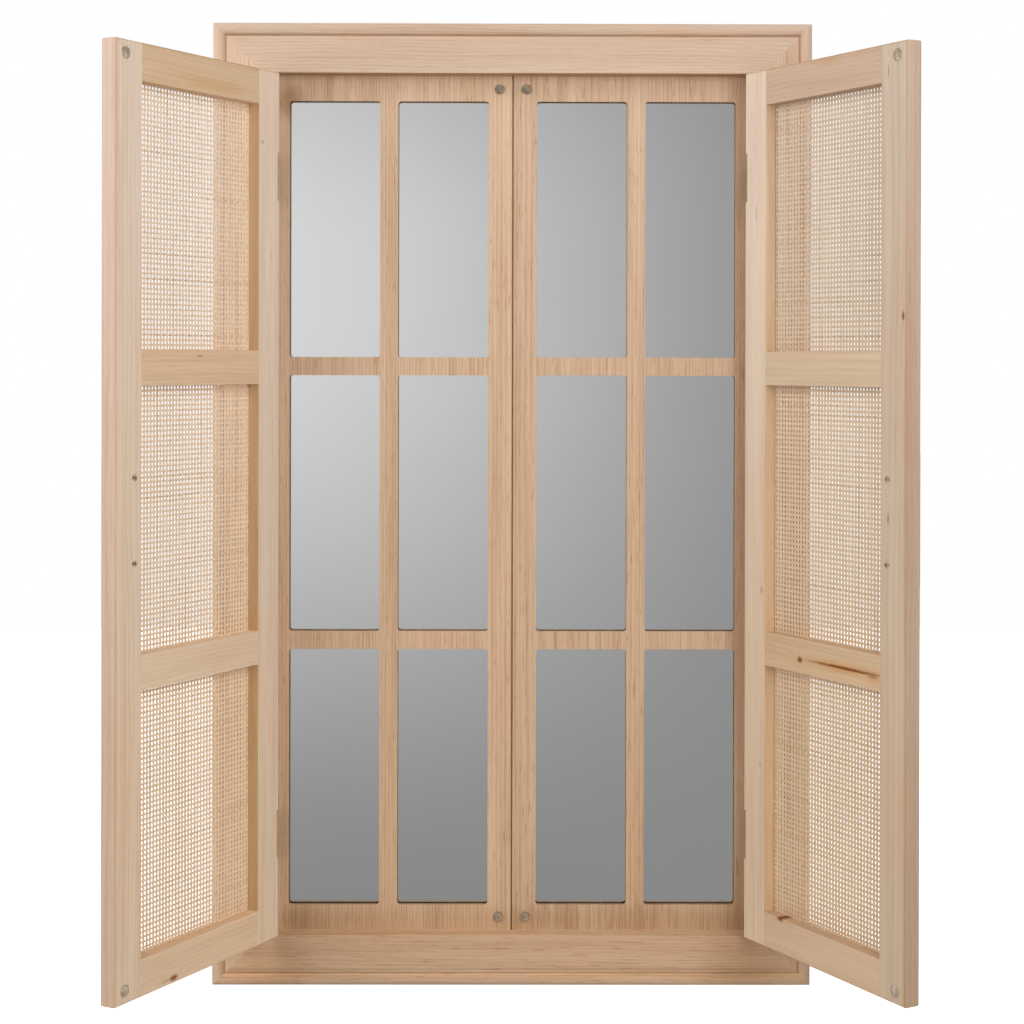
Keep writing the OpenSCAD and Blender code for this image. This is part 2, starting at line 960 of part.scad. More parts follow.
module left_handle() {
    hang_left() handle();
}

module left_handle_screws() {
    hang_left() handle_screw_pair();
}

module left_strikes() {
    hang_left() strike_pair();
}

module left_upper_door_leaf() {
    hang_left() door_leaf(hinge_z);
}

module left_lower_door_leaf() {
    hang_left() door_leaf(-hinge_z);
}

module left_leaf_screws() {
    hang_left() door_leaf_screws();
}

module right_hinge_stile() {
    hang_right() hinge_stile();
}

module right_meeting_stile() {
    hang_right() meeting_stile();
}

module right_top_rail() {
    hang_right() rail(3);
}

module right_upper_rail() {
    hang_right() rail(2);
}

module right_lower_rail() {
    hang_right() rail(1);
}

module right_bottom_rail() {
    hang_right() rail(0);
}

module right_cane_top() {
    hang_right() cane(2);
}

module right_cane_middle() {
    hang_right() cane(1);
}

module right_cane_bottom() {
    hang_right() cane(0);
}

module right_handle() {
    hang_right() handle();
}

module right_handle_screws() {
    hang_right() handle_screw_pair();
}

module right_strikes() {
    hang_right() strike_pair();
}

module right_upper_door_leaf() {
    hang_right() door_leaf(hinge_z);
}

module right_lower_door_leaf() {
    hang_right() door_leaf(-hinge_z);
}

module right_leaf_screws() {
    hang_right() door_leaf_screws();
}

frame_top();
frame_bottom();
frame_left();
frame_right();
corner_keys();
lattice_left();
lattice_right();
mirror_glass();
back_board();
back_board_screws();
catch_magnets();
hanger_left();
hanger_right();
hanger_screws();
left_upper_frame_leaf();
left_lower_frame_leaf();
right_upper_frame_leaf();
right_lower_frame_leaf();
left_upper_pin();
left_lower_pin();
right_upper_pin();
right_lower_pin();
frame_leaf_screws();
left_hinge_stile();
left_meeting_stile();
left_top_rail();
left_upper_rail();
left_lower_rail();
left_bottom_rail();
left_cane_top();
left_cane_middle();
left_cane_bottom();
left_handle();
left_handle_screws();
left_strikes();
left_upper_door_leaf();
left_lower_door_leaf();
left_leaf_screws();
right_hinge_stile();
right_meeting_stile();
right_top_rail();
right_upper_rail();
right_lower_rail();
right_bottom_rail();
right_cane_top();
right_cane_middle();
right_cane_bottom();
right_handle();
right_handle_screws();
right_strikes();
right_upper_door_leaf();
right_lower_door_leaf();
right_leaf_screws();
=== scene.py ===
import json
import math
import random

import bpy
from mathutils import Euler, Matrix, Vector


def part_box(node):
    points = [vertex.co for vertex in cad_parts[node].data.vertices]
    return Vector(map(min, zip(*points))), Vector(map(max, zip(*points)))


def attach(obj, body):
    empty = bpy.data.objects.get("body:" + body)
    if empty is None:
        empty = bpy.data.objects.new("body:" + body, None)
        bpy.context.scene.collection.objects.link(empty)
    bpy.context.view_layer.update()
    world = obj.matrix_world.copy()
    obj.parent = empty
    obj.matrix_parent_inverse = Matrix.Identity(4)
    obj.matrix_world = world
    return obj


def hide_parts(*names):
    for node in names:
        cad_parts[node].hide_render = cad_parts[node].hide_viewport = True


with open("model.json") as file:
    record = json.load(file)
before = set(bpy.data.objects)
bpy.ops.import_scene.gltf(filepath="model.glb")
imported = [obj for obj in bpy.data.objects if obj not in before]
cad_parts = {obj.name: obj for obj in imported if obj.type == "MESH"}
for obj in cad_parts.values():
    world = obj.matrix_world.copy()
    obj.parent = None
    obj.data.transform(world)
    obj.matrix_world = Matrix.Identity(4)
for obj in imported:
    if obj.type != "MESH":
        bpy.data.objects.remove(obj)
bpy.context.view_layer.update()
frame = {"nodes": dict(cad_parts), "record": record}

MM = 0.001
HALF_HEIGHT = 0.5

# ---- Places worked out from the frame ----

JOINTS = {joint["child"]: joint for joint in frame["record"]["behaviour"]["joints"]}
BODY_OF = {node: body
           for body, nodes in frame["record"]["behaviour"]["bodies"].items() for node in nodes}


def shut_pose(body):
    """The matrix that takes a body's points at rest to where they lie when its shutter is shut."""
    if body not in JOINTS:
        return Matrix.Identity(4)
    joint = JOINTS[body]
    angle = math.radians(joint["range_deg"][0])
    pin = Matrix.Translation(joint["pos_m"])
    return pin @ Matrix.Rotation(angle, 4, Vector(joint["axis"])) @ pin.inverted()


def extent(points):
    """The least and the greatest corner of the box round the points."""
    low = Vector([min(p[i] for p in points) for i in range(3)])
    high = Vector([max(p[i] for p in points) for i in range(3)])
    return low, high


def shut_points(node):
    """A node's vertices with its shutter shut."""
    turn = shut_pose(BODY_OF[node])
    return [turn @ v.co for v in frame["nodes"][node].data.vertices]


def solids(node):
    """The vertices of each separate solid of a node, with its shutter shut."""
    points = shut_points(node)
    place = [tuple(round(c * 1e5) for c in p) for p in points]
    root = {key: key for key in place}

    def find(key):
        while root[key] != key:
            root[key] = root[root[key]]
            key = root[key]
        return key

    for polygon in frame["nodes"][node].data.polygons:
        first = find(place[polygon.vertices[0]])
        for v in polygon.vertices[1:]:
            root[find(place[v])] = first
    groups = {}
    for key, point in zip(place, points):
        groups.setdefault(find(key), []).append(point)
    return [groups[key] for key in sorted(groups)]


# ---- Shader helpers ----


class Shader:
    """Adds nodes to one node tree and links them."""

    def __init__(self, tree):
        self.tree = tree
        tree.nodes.clear()

    def node(self, kind, inputs=None, **settings):
        new = self.tree.nodes.new("ShaderNode" + kind)
        for name, value in settings.items():
            setattr(new, name, value)
        for name, value in (inputs or {}).items():
            self.set(new.inputs[name], value)
        return new

    def set(self, socket, value):
        if isinstance(value, bpy.types.NodeSocket):
            self.tree.links.new(value, socket)
        elif isinstance(value, (tuple, list)) and socket.type == "RGBA" and len(value) == 3:
            socket.default_value = (*value, 1.0)
        else:
            socket.default_value = value

    def calc(self, operation, a, b=0.0, c=0.0):
        new = self.node("Math", operation=operation)
        for socket, value in zip(new.inputs, (a, b, c)):
            self.set(socket, value)
        return new.outputs[0]

    def add(self, a, b):
        return self.calc("ADD", a, b)

    def less(self, a, b):
        return self.calc("SUBTRACT", a, b)

    def times(self, a, b):
        return self.calc("MULTIPLY", a, b)

    def swing(self, value, size, base):
        """base, moved by size as value goes from 0 to 1 round 0.5."""
        return self.calc("MULTIPLY_ADD", self.less(value, 0.5), size, base)

    def vector(self, operation, a, b):
        new = self.node("VectorMath", operation=operation)
        self.set(new.inputs[0], a)
        self.set(new.inputs[1], b)
        return new.outputs[0]

    def scaled(self, vector, sizes):
        return self.vector("MULTIPLY", vector, sizes)

    def shifted(self, vector, offset):
        return self.vector("ADD", vector, offset)

    def parts(self, vector):
        return self.node("SeparateXYZ", {"Vector": vector}).outputs

    def joined(self, x, y, z):
        return self.node("CombineXYZ", {"X": x, "Y": y, "Z": z}).outputs[0]

    def hypot(self, a, b):
        return self.calc("SQRT", self.add(self.times(a, a), self.times(b, b)))

    def mix(self, factor, a, b, mode="MIX"):
        new = self.node("Mix", data_type="RGBA", blend_type=mode, clamp_factor=True)
        self.set(new.inputs[0], factor)
        self.set(new.inputs[6], a)
        self.set(new.inputs[7], b)
        return new.outputs[2]

    def tint(self, colour, by, factor=1.0):
        """The colour multiplied by another one, as far as the factor says."""
        return self.mix(factor, colour, by, "MULTIPLY")

    def smooth(self, value, low, high, to_low=0.0, to_high=1.0):
        """to_low below low and to_high above high, with a smooth step between them."""
        new = self.node("MapRange", interpolation_type="SMOOTHSTEP")
        for name, x in (("Value", value), ("From Min", low), ("From Max", high),
                        ("To Min", to_low), ("To Max", to_high)):
            self.set(new.inputs[name], x)
        return new.outputs[0]

    def foot_share(self, space):
        """1 at the object's foot, falling to 0 at its top."""
        return self.smooth(self.parts(space)[2], -HALF_HEIGHT, HALF_HEIGHT, 1.0, 0.0)

    def ramp(self, value, stops):
        """A colour from (place, colour) stops."""
        new = self.node("ValToRGB", {"Fac": value})
        elements = new.color_ramp.elements
        while len(elements) < len(stops):
            elements.new(0.5)
        for element, (place, colour) in zip(elements, stops):
            element.position = place
            element.color = (*colour, 1.0)
        return new.outputs[0]

    def noise(self, vector, scale=1.0, detail=2.0, rough=0.5):
        return self.node("TexNoise", {"Vector": vector, "Scale": scale, "Detail": detail,
                                      "Roughness": rough}).outputs["Fac"]


def rgb(red, green, blue):
    """A colour written as it shows on screen, 0 to 255, as linear light."""
    def linear(c):
        c /= 255
        return c / 12.92 if c <= 0.04045 else ((c + 0.055) / 1.055) ** 2.4
    return tuple(linear(c) for c in (red, green, blue))


def new_material(name):
    material = bpy.data.materials.new(name)
    material.use_nodes = True
    return material, Shader(material.node_tree)


def finish_material(sh, colour, roughness, bump=None, strength=0.2, distance=0.0002, **fixed):
    """Ends a material in a Principled shader. Fixed values go on the shader's own sockets."""
    inputs = {"Base Color": colour, "Roughness": roughness}
    inputs.update({name.replace("_", " "): value for name, value in fixed.items()})
    if bump is not None:
        inputs["Normal"] = sh.node("Bump", {"Height": bump, "Strength": strength,
                                            "Distance": distance}).outputs[0]
    shader = sh.node("BsdfPrincipled", inputs)
    sh.tree.links.new(shader.outputs[0], sh.node("OutputMaterial").inputs["Surface"])


def shut_space(sh, body, output="Object"):
    """Place ("Object") or "Normal" as if the body's shutter were shut, wherever it stands."""
    turn = shut_pose(body)
    source = sh.node("TexCoord").outputs[output]
    inputs = {"Vector": source, "Rotation": turn.to_euler()}
    if output == "Object":
        inputs["Location"] = turn.to_translation()
    kind = "POINT" if output == "Object" else "VECTOR"
    return sh.node("Mapping", inputs, vector_type=kind).outputs[0]


# ---- Wood ----

# Which axes run along the grain, across the board's face and through the board
ALONG = {"x": (0, 2, 1), "z": (2, 0, 1)}
# Scales of the noises in those three directions, per metre
SWAY = (3.4, 15, 15)
UNEVEN = (0.9, 30, 30)
FIBRE = (11, 560, 560)
FINE = (30, 2200, 2200)
BAND = (2.6, 75, 75)
BLOTCH = (4.0, 20, 20)
FLECK = (48, 900, 600)
KNOT_EDGE = 420
# How far from the middle of the lattice's rails their stronger stripes begin and end to fade
RAIL_FADE = (10 * MM, 16 * MM)
LATE_WOOD = 0.35
MIDDLE_LEVEL = 0.55


def mark_gap(sh, apart, offset, mark):
    """Distance from a mark's centre, as a share of its half length and half width."""
    u, v, length, width = mark
    du = sh.calc("DIVIDE", sh.less(apart[0], u * MM + offset[0]), length * MM)
    dv = sh.calc("DIVIDE", sh.less(apart[1], v * MM + offset[1]), width * MM)
    return sh.hypot(du, dv)


def lay_fibres(sh, space, apart, offset, sway, knots):
    """Place across the board with its fibres bent, and how much of a knot each point is."""
    bend = sh.noise(sh.scaled(space, SWAY), detail=3.0)
    across = sh.add(apart[1], sh.times(sh.less(bend, 0.5), sway))
    knot = 0.0
    for *mark, dark in knots:
        gap = mark_gap(sh, apart, offset, mark)
        gap = sh.swing(sh.noise(space, scale=KNOT_EDGE, detail=3.0), 0.5, gap)
        knot = sh.calc("MAXIMUM", knot, sh.smooth(gap, 0.25, 1.0, dark, 0.0))
        # the fibres pass round the knot
        width = mark[3] * MM
        across = sh.add(across, sh.smooth(gap, 0.0, 3.5, width * 1.2, 0.0))
    return across, knot


def grow_rings(sh, space, across, through, offset, look, draw):
    """How dark each point's part of its growth ring is, round a pith outside the board."""
    side = draw.choice((-1, 1)) * look["pith"] * draw.uniform(0.6, 1.2)
    depth = look["pith"] * draw.uniform(0.5, 1.3)
    radius = sh.hypot(sh.less(across, offset[1] + side), sh.less(through, offset[2] - depth))
    uneven = sh.noise(sh.scaled(space, UNEVEN), detail=1.0)
    growth = sh.add(sh.calc("DIVIDE", radius, look["ring"]), sh.times(uneven, 2.5))
    return sh.calc("POWER", sh.calc("FRACT", growth), 2.2)


def stripe_rails(sh, height, rails, noises):
    """The noises, stronger on the lattice's rails, where the upright grain shows as stripes."""
    strong = 1.0
    for z, stripes in rails:
        away = sh.calc("ABSOLUTE", sh.less(height, z * MM))
        strong = sh.calc("MAXIMUM", strong, sh.smooth(away, *RAIL_FADE, stripes, 1.0))
    return [sh.calc("MULTIPLY_ADD", sh.less(noise, 0.5), strong, 0.5) for noise in noises]


def cut_faces(sh, body, colour, look):
    """Tints rounded edges darker, and the outer edge faces and the reveals round the openings, each
    with a tint of its own.
    """
    normal = sh.parts(shut_space(sh, body, "Normal"))
    if look["edge"]:
        x, y, z = (sh.times(c, c) for c in normal)
        rounded = sh.add(sh.times(y, sh.add(x, z)), sh.times(x, z))
        colour = sh.tint(colour, look["edge_tint"],
                         sh.smooth(rounded, 0.01, 0.12, 0.0, look["edge"]))
    if look["outer"]:
        # the outer edge of a board faces one way, and the reveals round the openings the other
        axis, sign = look["outer"]
        facing = normal["XYZ".index(axis)]
        toward = sh.times(facing, sign) if sign else sh.times(sh.calc("ABSOLUTE", facing), -1.0)
        colour = sh.tint(colour, look["side_tint"], sh.smooth(toward, 0.55, 0.95))
        # on the frame's top this reveal tint is painted shade on the soffit, and on its foot
        # painted light on the sill
        colour = sh.tint(colour, look["reveal_tint"], sh.smooth(toward, -0.95, -0.55, 1.0, 0.0))
    return colour


def wood(name, body, along, seed, look, knots=(), stains_and_painted_shading=(), **changes):
    """Sawn wood with growth rings, fibres, flecks, knots, stains, painted shading and slow changes
    of tone, with painted warm shade toward its foot.
    """
    look = dict(look, **changes)
    material, sh = new_material(name)
    draw = random.Random(seed)
    offset = [draw.uniform(-9, 9) for _ in range(3)]
    apart = sh.parts(shut_space(sh, body))
    space = sh.shifted(sh.joined(*[apart[i] for i in ALONG[along]]), offset)
    apart = sh.parts(space)
    across, knot = lay_fibres(sh, space, apart, offset, look["sway"], knots)
    late = grow_rings(sh, space, across, apart[2], offset, look, draw)

    bent = sh.joined(apart[0], across, apart[2])
    fibre = sh.noise(sh.scaled(bent, FIBRE), detail=3.0, rough=0.6)
    fine = sh.noise(sh.scaled(bent, FINE), rough=0.6)
    band = sh.noise(sh.scaled(bent, BAND))
    blotch = sh.noise(sh.scaled(space, BLOTCH))
    fleck = sh.smooth(sh.noise(sh.scaled(bent, FLECK), detail=1.0), 0.60, 0.74)
    if look["rails"]:
        height = sh.less(apart[0], offset[0])
        fibre, fine = stripe_rails(sh, height, look["rails"], (fibre, fine))

    level = sh.swing(fibre, look["fibre"], MIDDLE_LEVEL)
    level = sh.swing(band, look["band"], level)
    level = sh.swing(fine, look["fine"], level)
    level = sh.calc("MULTIPLY_ADD", sh.less(LATE_WOOD, late), look["rings"], level)
    colour = sh.ramp(level, look["stops"])
    colour = sh.tint(colour, look["pink_tint"], sh.smooth(blotch, 0.44, 0.66, 0.0, look["pink"]))
    colour = sh.tint(colour, look["fleck_tint"], sh.times(fleck, look["fleck"]))
    if knots:
        colour = sh.tint(colour, look["knot_tint"], knot)
    # these are resin marks on the shutters, and painted shadow, painted shade and, where a tint is
    # above 1, painted light on the frame and lattice
    for u, v, length, width, dark, *own in stains_and_painted_shading:
        gap = mark_gap(sh, apart, offset, (u, v, length, width))
        tint = own[0] if own else look["stain_tint"]
        colour = sh.tint(colour, tint, sh.smooth(gap, 0.2, 1.0, dark, 0.0))
    colour = cut_faces(sh, body, colour, look)
    # painted warm shade: the wood is a little darker and more yellow toward its foot
    colour = sh.tint(colour, look["foot_shade_tint"], sh.foot_share(shut_space(sh, body)))
    colour = sh.tint(colour, look["tone"])

    height = sh.less(sh.swing(fine, 0.4, fibre), sh.times(fleck, 0.5))
    finish_material(sh, colour, sh.swing(fine, 0.2, 0.56), height, Specular_IOR_Level=0.32)
    return material


PLAIN = (1.0, 1.0, 1.0)

# sway, pith and ring in metres; fibre to rings say how strongly each one shows
OAK = {"sway": 0.016, "pith": 0.09, "ring": 0.0036,
       "fibre": 0.50, "band": 0.48, "fine": 0.30, "rings": 0.16,
       "fleck": 0.75, "fleck_tint": (0.78, 0.68, 0.62),
       "pink": 0.75, "pink_tint": (1.0, 0.94, 0.92),
       "knot_tint": (0.36, 0.19, 0.08), "stain_tint": (0.70, 0.62, 0.52),
       "edge": 0.0, "edge_tint": (0.80, 0.68, 0.54),
       "outer": None, "side_tint": (0.84, 0.76, 0.77), "reveal_tint": (0.72, 0.60, 0.42),
       "foot_shade_tint": (0.97, 0.92, 0.82), "tone": PLAIN, "rails": (),
       "stops": ((0.0, rgb(172, 138, 108)), (0.35, rgb(204, 173, 145)),
                 (0.62, rgb(219, 190, 164)), (1.0, rgb(230, 207, 184)))}
# rails are given as height in mm and strength of their stripes
VENEER = dict(OAK, sway=0.003, ring=0.0030, band=0.52, rings=0.20, fleck=1.0, pink=0.4,
              stops=((0.0, rgb(146, 110, 80)), (0.33, rgb(190, 157, 126)),
                     (0.6, rgb(211, 181, 152)), (1.0, rgb(227, 203, 178))),
              rails=((434, 1.15), (142, 1.5), (-142, 1.6), (-434, 1.7)))
PALE = dict(OAK, ring=0.0045, fibre=0.42, band=0.62, fleck=0.25, pink=0.8, edge=0.8,
            stops=((0.0, rgb(194, 163, 134)), (0.35, rgb(220, 195, 171)),
                   (0.62, rgb(233, 212, 190)), (1.0, rgb(243, 228, 210))))


def dress(node, material):
    obj = frame["nodes"][node]
    obj.data.materials.clear()
    obj.data.materials.append(material)


# ---- Other finishes ----

SCRATCHES = (1800, 900, 260)
MOTTLE = 0.3


def metal(name, colour, roughness):
    """Metal with fine scratches and darker clouds."""
    material, sh = new_material(name)
    place = sh.node("TexCoord").outputs["Object"]
    scratches = sh.noise(sh.scaled(place, SCRATCHES), detail=3.0, rough=0.7)
    clouds = sh.noise(place, scale=420, detail=3.0, rough=0.6)
    dull = tuple(c * (1 - MOTTLE) for c in colour)
    tint = sh.mix(sh.smooth(clouds, 0.38, 0.62), colour, dull)
    finish_material(sh, tint, sh.swing(scratches, 0.25, roughness), scratches, strength=0.12,
                    distance=0.0001, Metallic=1.0)
    return material


CANE_STOPS = ((0.0, rgb(205, 179, 148)), (0.35, rgb(228, 210, 187)),
              (0.7, rgb(238, 224, 205)), (1.0, rgb(245, 236, 221)))
ODD_STRAND = (0.78, 0.69, 0.60)
# painted warm shade toward the cane's foot
CANE_FOOT_SHADE = (0.98, 0.91, 0.81)


def strand_scale(upright, along, across):
    """Scales of a noise that runs along a strand."""
    return (across, across, along) if upright else (along, across, across)


def cane_material(name, body, upright, tone, hinge_light, top_shade):
    """Peeled rattan with streaks along its strands, with painted warm shade toward the foot,
    painted light toward the hinges and painted shade toward the top.
    """
    material, sh = new_material(name)
    space = shut_space(sh, body)
    slow = sh.noise(sh.scaled(space, strand_scale(upright, 16, 300)))
    fine = sh.noise(sh.scaled(space, strand_scale(upright, 112, 2100)), detail=3.0, rough=0.7)
    level = sh.swing(fine, 0.4, sh.swing(slow, 0.9, MIDDLE_LEVEL))
    colour = sh.ramp(level, CANE_STOPS)
    # a few strands are browner than the rest
    odd = sh.noise(sh.scaled(space, strand_scale(upright, 3, 210)), detail=1.0)
    colour = sh.tint(colour, ODD_STRAND, sh.smooth(odd, 0.62, 0.70, 0.0, 0.7))
    colour = sh.tint(colour, CANE_FOOT_SHADE, sh.foot_share(space))
    colour = sh.tint(colour, tone)
    x, _, z = sh.parts(space)
    # painted light toward the hinges, and painted shade toward the top
    colour = sh.tint(colour, hinge_light, sh.smooth(sh.calc("ABSOLUTE", x), 0.11, 0.17))
    colour = sh.tint(colour, top_shade, sh.smooth(z, 0.08, 0.24))
    finish_material(sh, colour, 0.5, fine, distance=0.0001, Specular_IOR_Level=0.4)
    return material


def glass_material():
    """Clear glass with the faintest unevenness in its tint."""
    material, sh = new_material("clear_glass")
    haze = sh.noise(sh.node("TexCoord").outputs["Object"], scale=6)
    colour = sh.mix(haze, (0.98, 0.985, 0.98), (0.99, 0.99, 0.985))
    finish_material(sh, colour, 0.0, IOR=1.52, Transmission_Weight=1.0)
    return material


def silver_material():
    """The mirror's coat, a little brighter in some places than in others."""
    material, sh = new_material("silvering")
    haze = sh.noise(sh.node("TexCoord").outputs["Object"], scale=7)
    colour = sh.mix(haze, rgb(244, 246, 245), rgb(250, 250, 250))
    finish_material(sh, colour, 0.0, Metallic=1.0)
    return material


def board_material():
    """Brown fibreboard with short fibres lying every way."""
    material, sh = new_material("fibreboard")
    place = sh.node("TexCoord").outputs["Object"]
    fibres = sh.noise(sh.scaled(place, (420, 420, 900)), detail=4.0, rough=0.7)
    cross = sh.noise(sh.scaled(place, (900, 420, 420)), detail=4.0, rough=0.7)
    clouds = sh.noise(place, scale=12, detail=3.0)
    level = sh.calc("MULTIPLY_ADD", fibres, 0.5, sh.times(cross, 0.3))
    level = sh.calc("MULTIPLY_ADD", clouds, 0.25, level)
    colour = sh.ramp(level, ((0.3, rgb(112, 84, 58)), (0.6, rgb(158, 124, 90)),
                             (0.8, rgb(178, 146, 110))))
    finish_material(sh, colour, 0.8, fibres, strength=0.25, distance=0.0003)
    return material


STEEL = metal("dull_steel", rgb(176, 164, 148), 0.40)
SCREW_STEEL = metal("screw_steel", rgb(214, 204, 186), 0.34)
NICKEL = metal("worn_nickel", rgb(232, 216, 196), 0.6)

# ---- Mesh helpers ----


class Builder:
    """Collects points and faces, with the shutter shut, for one piece."""

    def __init__(self):
        self.points, self.faces, self.kinds = [], [], []

    def loop(self, points):
        start = len(self.points)
        self.points += points
        return list(range(start, len(self.points)))

    def face(self, corners, kind=0):
        self.faces.append(tuple(corners))
        self.kinds.append(kind)

    def band(self, a, b, kind=0):
        """Quads between two closed loops of the same length."""
        n = len(a)
        for i in range(n):
            self.face((a[i], a[(i + 1) % n], b[(i + 1) % n], b[i]), kind)

    def piece(self, name, body, materials, replaced=(), smooth=35):
        """The collected mesh as an object that rides on a body, put back to its place at rest."""
        back = shut_pose(body).inverted()
        mesh = bpy.data.meshes.new(name)
        mesh.from_pydata([tuple(back @ Vector(p)) for p in self.points], [], self.faces)
        for material in materials:
            mesh.materials.append(material)
        mesh.polygons.foreach_set("material_index", self.kinds)
        mesh.update()
        mesh.shade_smooth()
        mesh.set_sharp_from_angle(angle=math.radians(smooth))
        obj = bpy.data.objects.new(name, mesh)
        bpy.context.scene.collection.objects.link(obj)
        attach(obj, body)
        if replaced:
            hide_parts(*replaced)


def axes(out):
    """Two unit vectors square to out, so that (a, b, out) is right-handed."""
    a = Vector((0, 0, 1))
    return a, out.cross(a).normalized()


# ---- Screws, magnets and strike discs ----

# Stations of a screw head's grid, as shares of its radius, and which of them bound the cross
CROSS = (0.13, 0.16, 0.34, 0.55, 0.60, 0.80, 1.0)
CROSS_ARM, CROSS_REACH = CROSS[0], CROSS[3]
CROSS_DEPTH = 0.34


def screw_facts(points):
    """Head centre, outward direction, radii, length and dome height of one screw solid."""
    low, high = extent(points)
    size = high - low
    axis = max(range(2), key=lambda i: size[i])
    others = [i for i in range(3) if i != axis]
    centre = (low + high) / 2

    def radius(p):
        return math.hypot(*(p[i] - centre[i] for i in others))

    widest = max(points, key=radius)
    head_r = radius(widest)
    sign = 1 if widest[axis] > centre[axis] else -1
    end = high[axis] if sign > 0 else low[axis]
    dome = abs(end - widest[axis])
    tip = [p for p in points if abs(p[axis] - end) > size[axis] * 0.9]
    shank_r = max(radius(p) for p in tip)
    head = centre.copy()
    head[axis] = widest[axis]
    out = Vector([sign if i == axis else 0 for i in range(3)])
    return head, out, head_r, shank_r, size[axis] - dome, dome


def in_cross(u, v):
    u, v = abs(u), abs(v)
    return min(u, v) <= CROSS_ARM and max(u, v) <= CROSS_REACH


def screw(build, points):
    """A cross-recessed screw in place of a plain one, domed or countersunk as that one is."""
    head, out, head_r, shank_r, length, dome = screw_facts(points)
    a, b = axes(out)
    stations = [-k for k in reversed(CROSS)] + list(CROSS)
    n = len(stations)
    grid = []
    for u in stations:
        row = []
        for v in stations:
            # a square grid drawn out to a round head
            x, y = u * math.sqrt(1 - v * v / 2), v * math.sqrt(1 - u * u / 2)
            h = dome * (1 - x * x - y * y) - (CROSS_DEPTH * head_r if in_cross(u, v) else 0)
            h = max(h, 0) if dome else h
            row.append(head + a * x * head_r + b * y * head_r + out * h)
        grid.append(build.loop(row))
    for i in range(n - 1):
        for j in range(n - 1):
            build.face((grid[i][j], grid[i + 1][j], grid[i + 1][j + 1], grid[i][j + 1]))
    rim = ([grid[i][0] for i in range(n - 1)] + [grid[n - 1][j] for j in range(n - 1)]
           + [grid[i][n - 1] for i in range(n - 1, 0, -1)]
           + [grid[0][j] for j in range(n - 1, 0, -1)])
    flat = [build.points[k] - head for k in rim]
    neck = 0.0 if dome else head_r - shank_r
    last = rim
    for h in (-neck, -length):
        ring = build.loop([head + f * (shank_r / head_r) + out * h for f in flat])
        build.band(ring, last)
        last = ring
    build.face(last[::-1])


def lathe(build, centre, out, profile, count=48):
    """A closed solid turned from (radius, height) steps, with flats at the first and last."""
    a, b = axes(out)
    turns = [2 * math.pi * k / count for k in range(count)]
    rings = []
    for r, h in profile:
        rings.append(build.loop([centre + out * h + a * r * math.cos(t) + b * r * math.sin(t)
                                 for t in turns]))
    for low, high in zip(rings, rings[1:]):
        build.band(low, high)
    build.face(rings[0][::-1])
    build.face(rings[-1])


DISC_RIM = 0.35 * MM
DISC_STEP = 0.12 * MM
DISC_BREAK = 0.02 * MM


def disc(build, points, out):
    """A disc with a broken edge and a shallow step inside its rim, in place of a plain one."""
    low, high = extent(points)
    centre = (low + high) / 2
    thick = high.y - low.y
    r = (high.x - low.x) / 2
    base = centre - out * thick / 2
    rim, step = DISC_RIM, DISC_STEP
    lathe(build, base, out, ((r, 0), (r, thick - rim * 1.5), (r - rim * 0.4, thick - rim * 0.5),
                             (r - rim, thick - DISC_BREAK), (r - 2.4 * rim, thick),
                             (r - 3 * rim, thick - step), (r * 0.3, thick - step),
                             (r * 0.25, thick - 2 * step)))


def rebuild(name, node, maker, material, slot, **rest):
    """One new piece in place of a node, with each of its solids made anew."""
    build = Builder()
    for points in solids(node):
        maker(build, points, **rest)
    build.piece(name, BODY_OF[node], [material], [node])


# ---- Woven cane ----

CANE_PITCH = 4.8 * MM
# Width of the strands that run up and of those that run across
STRAND_W = (2.95 * MM, 1.9 * MM)
STRAND_T = 0.45 * MM
STRAND_RISE = 0.44 * MM
# How far the flat net, and how far the strands, reach into the grooves
CANE_RIM = 3.7 * MM
CANE_TUCK = 3.0 * MM
# How the strands vary in width, place and bend, and at what rate they bend along their run
WIDTH_RANGE = (0.94, 1.05)
SLIP_RANGE = (-0.1, 0.1)
BEND_RANGE = (0.03, 0.12)
PHASE_RANGE = (0, 6.28)
BEND_RATE = 34


def course(kind, index, run, other):
    """Place along the run and lift of each station of one strand."""
    hop = run / other
    if kind == 0:
        inner = [(j * hop, 0.0) for j in range(1, other)]
    else:
        # the strands across go over and under the uprights, which lie straight
        inner = []
        for j in range(other + 1):
            lift = STRAND_RISE if (index + j) % 2 == 0 else -STRAND_RISE
            inner += [((j - 0.2) * hop, lift), ((j + 0.2) * hop, lift), ((j + 0.5) * hop, 0.0)]
        inner.pop()
    return [(-CANE_TUCK, 0.0), *inner, (run + CANE_TUCK, 0.0)]


def strand_ring(kind, wide):
    """Offsets to the side and outward of the points round one strand."""
    half, quarter, flat = wide / 2, wide / 4, STRAND_T / 2
    ring = [(-half, 0), (-quarter, flat), (quarter, flat),
            (half, 0), (quarter, -flat), (-quarter, -flat)]
    return ring[::-1] if kind == 0 else ring


